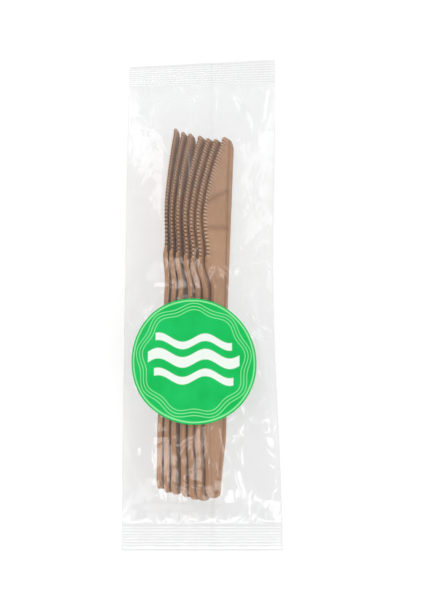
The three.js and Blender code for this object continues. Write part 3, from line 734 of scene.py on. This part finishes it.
def clear_film():
    """Clear film: each face lets light through, and mirrors what a plastic face mirrors, more at a slant.
    Its tint darkens towards the bottom seal as painted shade, is deeper where the film is welded, and
    carries painted shade along the folds over the front blade; the lap's two layers share one layer's tint
    and mirror. Fine crinkles are in its bump, and end at the seals."""
    material, tree, output = new_material("clear_film_glossy")
    place = node(tree, "ShaderNodeTexCoord", -2100, 0).outputs["Object"]
    welded, lapped, folded = (
        node(tree, "ShaderNodeAttribute", -1100, 500 + 200 * row, attribute_name=mark).outputs["Fac"]
        for row, mark in enumerate(FILM_MARKS)
    )
    warp = node(
        tree, "ShaderNodeTexNoise", -1900, -300, noise_dimensions="2D", Vector=place, Scale=40.0,
        Detail=2.0,
    )
    warped = node(
        tree, "ShaderNodeVectorMath", -1700, -300, warp.outputs["Color"], [CRINKLE_WARP] * 3, place,
        operation="MULTIPLY_ADD",
    )
    crinkle_space = node(
        tree, "ShaderNodeMapping", -1500, -300, Vector=warped.outputs["Vector"], Scale=(1.0, 0.5, 1.0),
    ).outputs["Vector"]
    swell = noise(tree, -1300, -950, crinkle_space, noise_dimensions="2D", Scale=90.0, Detail=2.0)
    relief = calc(tree, -1100, -950, "MULTIPLY_ADD", swell, SWELL_HEIGHT, -SWELL_HEIGHT / 2)
    for row, (scale, half_width, rise) in enumerate(CRINKLES):
        level = -300 - 300 * row
        cells = node(
            tree, "ShaderNodeTexVoronoi", -1300, level, feature="DISTANCE_TO_EDGE",
            voronoi_dimensions="2D", Vector=crinkle_space, Scale=scale,
        )
        ridge = spread(
            tree, -1100, level, cells.outputs["Distance"], From_Max=half_width * scale, To_Min=rise,
            To_Max=0.0,
        )
        patch = noise(
            tree, -1300, level - 150, place, noise_dimensions="2D", Scale=scale * 0.6, Detail=1.0,
        )
        kept = spread(tree, -1100, level - 150, patch, From_Min=0.42, From_Max=0.66)
        relief = calc(tree, -900, level, "MULTIPLY_ADD", ridge, kept, relief)
    loose = spread(tree, -900, 300, welded, From_Max=0.5, To_Min=1.0, To_Max=0.0)
    loose_relief = calc(tree, -600, -300, "MULTIPLY", relief, loose)
    bump = node(tree, "ShaderNodeBump", -400, -200, Height=loose_relief, Strength=1.0, Distance=MM)
    normal = bump.outputs["Normal"]
    haze = noise(tree, -700, 100, place, noise_dimensions="2D", Scale=70.0, Detail=2.0)
    gloss = spread(tree, -400, 100, haze, To_Min=0.10, To_Max=0.22)
    mirror = node(tree, "ShaderNodeBsdfGlossy", 100, -150, Color=WHITE, Roughness=gloss, Normal=normal)

    # Painted shade along the pack, darker towards the bottom seal.
    y = node(tree, "ShaderNodeSeparateXYZ", -900, 150, Vector=place).outputs["Y"]
    along = spread(tree, -700, 350, y, From_Min=-TINT_REACH, From_Max=TINT_REACH)
    painted_shade_along = blend(tree, -500, 300, along, BOTTOM_TINT, TOP_TINT)
    clouded = spread(tree, -700, 600, welded, From_Min=LEAST_WELD, To_Min=1.0, To_Max=WELD_TINT)
    # Painted shade along the folds over the front blade, dimming what is seen through them.
    painted_fold_darkening = spread(tree, -700, 900, folded, To_Min=1.0, To_Max=PAINTED_FOLD_SHADE)
    dimmed = calc(tree, -500, 600, "MULTIPLY", clouded, painted_fold_darkening)
    tint = blend(tree, -300, 300, 1.0, painted_shade_along, dimmed, blend_type="MULTIPLY")
    halved = calc(tree, -300, 700, "MULTIPLY", lapped, 0.5)
    shared = blend(tree, -100, 150, halved, tint, WHITE)
    through = node(tree, "ShaderNodeBsdfTransparent", 100, 100, Color=shared)
    slant = node(tree, "ShaderNodeLayerWeight", -300, 500, Normal=normal, Blend=0.5)
    steep = calc(tree, -100, 450, "POWER", slant.outputs["Facing"], SLANT_POWER)
    least = spread(tree, -100, 700, lapped, To_Min=FILM_MIRROR, To_Max=LAP_MIRROR)
    share = spread(tree, 100, 450, steep, To_Min=least, To_Max=1.0)
    mixed = node(
        tree, "ShaderNodeMixShader", 500, 0, share, through.outputs["BSDF"], mirror.outputs["BSDF"],
    )
    tree.links.new(mixed.outputs["Shader"], output.inputs["Surface"])
    return material


film_middle, *film_marks = film_sheet()
film_points, film_faces = thin_wall(film_middle, film_half)
wrapper = link_mesh("folded_film_wrapper", film_points, film_faces)
for mark, values in zip(FILM_MARKS, film_marks):
    film_mark = wrapper.data.attributes.new(mark, "FLOAT", "POINT")
    film_mark.data.foreach_set("value", np.tile(values.ravel(), 2).astype(np.float32))
wrapper.data.materials.append(clear_film())
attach(wrapper, "root")
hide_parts("film_wrapper")

# Label: a die-cut disc of satin green paper, stuck to the film over the handles and bent with it.
# The print is a made-up design: three white wavy bands, inside a pale border and pale rippled rings.
LABEL_THICKNESS = 0.12
LABEL_GAP = 0.15
LABEL_ROUND = 0.03
LABEL_SHARP = np.radians(50)


def label_across(across, y):
    """Place across the pack that lies a given length along the bent film from the label's middle line:
    the straight guess is scaled by wanted length over measured length a few times."""
    steps = 48
    tries = 4
    shares = np.linspace(0, 1, steps)
    x = LABEL_ACROSS + across
    for _ in range(tries):
        places = LABEL_ACROSS + (x - LABEL_ACROSS)[..., None] * shares
        heights = smooth_front(places, np.broadcast_to(y[..., None], places.shape))
        run = np.hypot(np.diff(places, axis=-1), np.diff(heights, axis=-1)).sum(-1)
        x = LABEL_ACROSS + (x - LABEL_ACROSS) * np.abs(across) / np.maximum(run, 1e-6)
    return x


def label_disc():
    """Rings and spokes of a flat disc, laid on the film: upper face, cut edge and lower face. With them go
    the flat disc's own coordinates, from 0 to 1."""
    spokes = 180
    rings = 44
    shares = np.concatenate([np.linspace(0.02, 0.985, rings), [0.997, 1.0]])[:, None]
    radii = shares * LABEL_DIAMETER / 2
    turn = np.linspace(0, 2 * np.pi, spokes, endpoint=False)
    flat_x = radii * np.cos(turn)
    flat_y = radii * np.sin(turn)
    y = LABEL_ALONG + flat_y
    x = label_across(flat_x, y)
    under = smooth_front(x, y) + film_half + LABEL_GAP
    upper = np.stack([x, y, under + LABEL_THICKNESS - LABEL_ROUND * (shares == 1)], axis=2)
    lower = np.stack([x, y, under], axis=2)[::-1]
    flat = np.stack([flat_x, flat_y], axis=2) / LABEL_DIAMETER + 0.5
    return np.concatenate([upper, lower]), np.concatenate([flat, flat[::-1]])


# Print, in label diameters: each band's middle, half its width and half its length, then the thin lines.
BANDS = [(0.155, 0.030, 0.30), (0.02, 0.042, 0.36), (-0.125, 0.030, 0.31)]
BAND_WAVE = 0.035
BAND_TURN = 17.0
RING_RADII = (0.395, 0.42, 0.445)
RING_HALF = 0.0032
RING_SOFT = 0.003
RING_RIPPLE = 0.016
RING_WAVES = 9.0
BORDER_RADIUS = 0.482
BORDER_HALF = 0.006
PRINT_SOFT = 0.0035
DARK_GREEN = (0.002, 0.50, 0.095, 1)
LIGHT_GREEN = (0.006, 0.56, 0.12, 1)
LINE_GREEN = (0.28, 0.82, 0.34, 1)
BAND_WHITE = (0.86, 0.93, 0.86, 1)


def printed_paper():
    """Satin green print: masks in the flat disc's own coordinates pick white bands and pale lines."""
    material, tree, output = new_material("label_paper_printed")

    def step(operation, *values):
        """One operation, in the editor's next column."""
        return calc(tree, -2000 + 170 * len(tree.nodes), -500, operation, *values)

    def line(distance, half_width, soft=PRINT_SOFT):
        """1 within half a width, falling to 0 across a soft border."""
        return spread(
            tree, -2000 + 170 * len(tree.nodes), -800, distance, From_Min=half_width - soft,
            From_Max=half_width + soft, To_Min=1.0, To_Max=0.0,
        )

    uv = node(tree, "ShaderNodeUVMap", -2400, 0, uv_map="flat_disc")
    parts = node(tree, "ShaderNodeSeparateXYZ", -2200, 0, Vector=uv.outputs["UV"])
    across = step("SUBTRACT", parts.outputs["X"], 0.5)
    along = step("SUBTRACT", parts.outputs["Y"], 0.5)
    squares = step("ADD", step("MULTIPLY", across, across), step("MULTIPLY", along, along))
    radius = step("POWER", squares, 0.5)

    wave = step("MULTIPLY", step("SINE", step("MULTIPLY", across, BAND_TURN)), BAND_WAVE)
    bands = 0.0
    for middle, half_width, reach in BANDS:
        off = step("SUBTRACT", step("SUBTRACT", along, middle), wave)
        band = line(step("ABSOLUTE", off), half_width)
        ends = line(step("ABSOLUTE", across), reach)
        bands = step("MAXIMUM", bands, step("MULTIPLY", band, ends))

    turn = step("ARCTAN2", along, across)
    ripple = step("MULTIPLY", step("SINE", step("MULTIPLY", turn, RING_WAVES)), RING_RIPPLE)
    rippled = step("SUBTRACT", radius, ripple)
    lines = line(step("ABSOLUTE", step("SUBTRACT", radius, BORDER_RADIUS)), BORDER_HALF)
    for middle in RING_RADII:
        off = step("ABSOLUTE", step("SUBTRACT", rippled, middle))
        lines = step("MAXIMUM", lines, line(off, RING_HALF, RING_SOFT))

    place = node(tree, "ShaderNodeTexCoord", -1400, -1100).outputs["Object"]
    ink = noise(tree, -1100, -1100, place, Scale=90.0, Detail=2.0)
    paper = noise(tree, -1100, -1350, place, Scale=1800.0, Detail=3.0)
    green = colour_ramp(tree, -800, -1100, ink, (0.35, DARK_GREEN), (0.65, LIGHT_GREEN))
    lined = blend(tree, 100, -200, lines, green, LINE_GREEN)
    printed = blend(tree, 300, -200, bands, lined, BAND_WHITE)
    satin = spread(tree, 100, -1000, ink, To_Min=0.42, To_Max=0.52)
    fibre = node(tree, "ShaderNodeBump", 100, -1350, Height=paper, Strength=0.08, Distance=0.0001)
    shader = node(
        tree, "ShaderNodeBsdfPrincipled", 600, 0, Base_Color=printed, Roughness=satin,
        Normal=fibre.outputs["Normal"], Specular_IOR_Level=0.2,
    )
    tree.links.new(shader.outputs["BSDF"], output.inputs["Surface"])
    return material


label_rings, label_flat = label_disc()
label = link_mesh("round_paper_label", label_rings.reshape(-1, 3), loft_faces(*label_rings.shape[:2]))
label.data.set_sharp_from_angle(angle=LABEL_SHARP)
flat_map = label.data.uv_layers.new(name="flat_disc")
corner_points = np.zeros(len(label.data.loops), dtype=np.int32)
label.data.loops.foreach_get("vertex_index", corner_points)
flat_map.uv.foreach_set("vector", label_flat.reshape(-1, 2)[corner_points].astype(np.float32).ravel())
label.data.materials.append(printed_paper())
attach(label, "root")
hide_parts("round_label")

# Studio: a wide white floor that keeps a soft shadow, an even grey surround and soft lamps to both sides.
FLOOR_REACH = 3000.0
FLOOR_SIDES = 96
FLOOR_DROP = 0.3
PLAIN_FLOOR = (0.8, 0.8, 0.8, 1)
SEEN_FLOOR = (0.34, 0.34, 0.34, 1)
SEEN_GLOW = 0.70
SURROUND_ABOVE = 0.42
SURROUND_LOW = 0.7
SURROUND_FAR = 0.28


def white_floor():
    """Floor that the camera and mirrors see glowing, over a dim white that keeps the shadow. Other light
    meets it as plain white."""
    material, tree, output = new_material("studio_floor_white")
    ray = node(tree, "ShaderNodeLightPath", -700, 300).outputs
    seen = calc(tree, -450, 300, "MAXIMUM", ray["Is Camera Ray"], ray["Is Glossy Ray"])
    seen = calc(tree, -250, 300, "MAXIMUM", seen, ray["Is Transmission Ray"])
    plain = node(tree, "ShaderNodeBsdfDiffuse", -250, -150, Color=PLAIN_FLOOR)
    dim = node(tree, "ShaderNodeBsdfDiffuse", -250, 0, Color=SEEN_FLOOR)
    glow = node(tree, "ShaderNodeEmission", -250, 150, Color=WHITE, Strength=SEEN_GLOW)
    white = node(tree, "ShaderNodeAddShader", 100, 100, dim.outputs["BSDF"], glow.outputs["Emission"])
    mix = node(tree, "ShaderNodeMixShader", 400, 0, seen, plain.outputs["BSDF"], white.outputs["Shader"])
    tree.links.new(mix.outputs["Shader"], output.inputs["Surface"])
    return material


def surround():
    """World that is white to the camera. To other light it is grey, dimmer overhead, and brighter beyond
    the pack's top seal."""
    world = bpy.data.worlds.new("studio_surround")
    world.use_nodes = True
    tree = world.node_tree
    tree.nodes.clear()
    way = node(tree, "ShaderNodeTexCoord", -1000, -100)
    parts = node(tree, "ShaderNodeSeparateXYZ", -800, -100, Vector=way.outputs["Generated"]).outputs
    level = spread(
        tree, -600, -100, parts["Z"], interpolation_type="SMOOTHSTEP", From_Min=0.05, From_Max=0.98,
        To_Min=SURROUND_LOW, To_Max=SURROUND_ABOVE,
    )
    strength = calc(tree, -400, -100, "MULTIPLY_ADD", parts["Y"], SURROUND_FAR, level)
    grey = node(tree, "ShaderNodeBackground", -200, -100, Color=WHITE, Strength=strength)
    white = node(tree, "ShaderNodeBackground", -200, 100, Color=WHITE)
    seen = node(tree, "ShaderNodeLightPath", -200, 300).outputs["Is Camera Ray"]
    mix = node(
        tree, "ShaderNodeMixShader", 100, 0, seen, grey.outputs["Background"], white.outputs["Background"],
    )
    output = node(tree, "ShaderNodeOutputWorld", 400, 0)
    tree.links.new(mix.outputs["Shader"], output.inputs["Surface"])
    return world


floor_turn = np.linspace(0, 2 * np.pi, FLOOR_SIDES, endpoint=False)
floor_ring = FLOOR_REACH * np.stack([np.cos(floor_turn), np.sin(floor_turn)], axis=1)
floor_points = np.insert(floor_ring, 2, -FLOOR_DROP, axis=1)
floor = link_mesh("studio_floor", floor_points, [list(range(len(floor_points)))])
floor.data.materials.append(white_floor())
bpy.context.scene.world = surround()


def soft_lamp(name, place, aim, size, power):
    """Square area lamp at a place, turned to face a point."""
    lamp = bpy.data.lights.new(name, "AREA")
    lamp.shape = "SQUARE"
    lamp.size = size
    lamp.energy = power
    holder = bpy.data.objects.new(name, lamp)
    holder.location = place
    away = np.array(place) - np.array(aim)
    flat = np.hypot(away[0], away[1])
    holder.rotation_euler = (np.arctan2(flat, away[2]), 0, np.arctan2(away[1], away[0]) + np.pi / 2)
    bpy.context.scene.collection.objects.link(holder)


soft_lamp("lamp_right", (0.85, -0.75, 0.80), (0, 0, 0), size=0.9, power=5.8)
soft_lamp("lamp_left", (-0.80, -0.95, 0.85), (0, 0, 0), size=1.25, power=4.6)
soft_lamp("lamp_far", (-0.62, 0.76, 0.75), (0, 0, 0), size=0.7, power=2.4)
soft_lamp("lamp_near", (0.0, -0.36, 1.20), (0, -0.36, 0), size=0.62, power=3.3)

# Camera: nearly straight down on the pack, from a little towards its bottom seal.
PHOTO_WIDTH = 425
PHOTO_HEIGHT = 600
VIEW_TILT = np.radians(15.20)
VIEW_DISTANCE = 0.5671
FOCAL_PIXELS = 1260.1
CENTRE_X = 202.20
CENTRE_Y = 296.69
camera_data = bpy.data.cameras.new("photo_camera")
camera_data.sensor_fit = "HORIZONTAL"
camera_data.sensor_width = 36.0
camera_data.lens = FOCAL_PIXELS * camera_data.sensor_width / PHOTO_WIDTH
camera_data.shift_x = (PHOTO_WIDTH / 2 - CENTRE_X) / PHOTO_WIDTH
camera_data.shift_y = (CENTRE_Y - PHOTO_HEIGHT / 2) / PHOTO_WIDTH
camera_data.clip_start = 0.01
camera = bpy.data.objects.new("photo_camera", camera_data)
camera.location = (0, -VIEW_DISTANCE * np.sin(VIEW_TILT), VIEW_DISTANCE * np.cos(VIEW_TILT))
camera.rotation_euler = (VIEW_TILT, 0, 0)
bpy.context.scene.collection.objects.link(camera)
bpy.context.scene.camera = camera
bpy.context.scene.view_settings.view_transform = "Standard"
bpy.context.scene.cycles.transparent_max_bounces = 32
